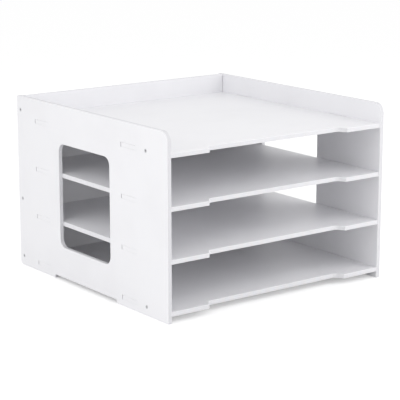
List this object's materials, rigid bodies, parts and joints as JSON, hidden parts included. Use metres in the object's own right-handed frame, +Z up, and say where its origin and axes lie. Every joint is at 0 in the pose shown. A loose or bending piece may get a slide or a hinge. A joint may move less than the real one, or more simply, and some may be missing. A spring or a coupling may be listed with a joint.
{
  "type": "desktop file rack",
  "caption": "Open desktop file rack of white board: tiered shelves with finger notches between windowed side panels and a full back, with a shallow tray on top.",
  "frame": {"origin": "on the desk, under the middle of the rack's footprint", "axes": "+X to the right as seen from the open front, +Y towards the back panel, +Z up"},
  "size_m": [0.37, 0.37, 0.25],
  "materials": {
    "white_board": "expanded PVC board, fine satin skin, white through its thickness",
    "screw_steel": "bright zinc plate, dark in the cross recess"
  },
  "bodies": {
    "root": {"left_side_panel": "white_board", "right_side_panel": "white_board", "back_panel": "white_board", "top_shelf": "white_board", "upper_middle_shelf": "white_board", "lower_middle_shelf": "white_board", "bottom_shelf": "white_board", "left_rear_screws": "screw_steel", "left_front_screws": "screw_steel", "right_rear_screws": "screw_steel", "right_front_screws": "screw_steel"}
  },
  "joints": []
}
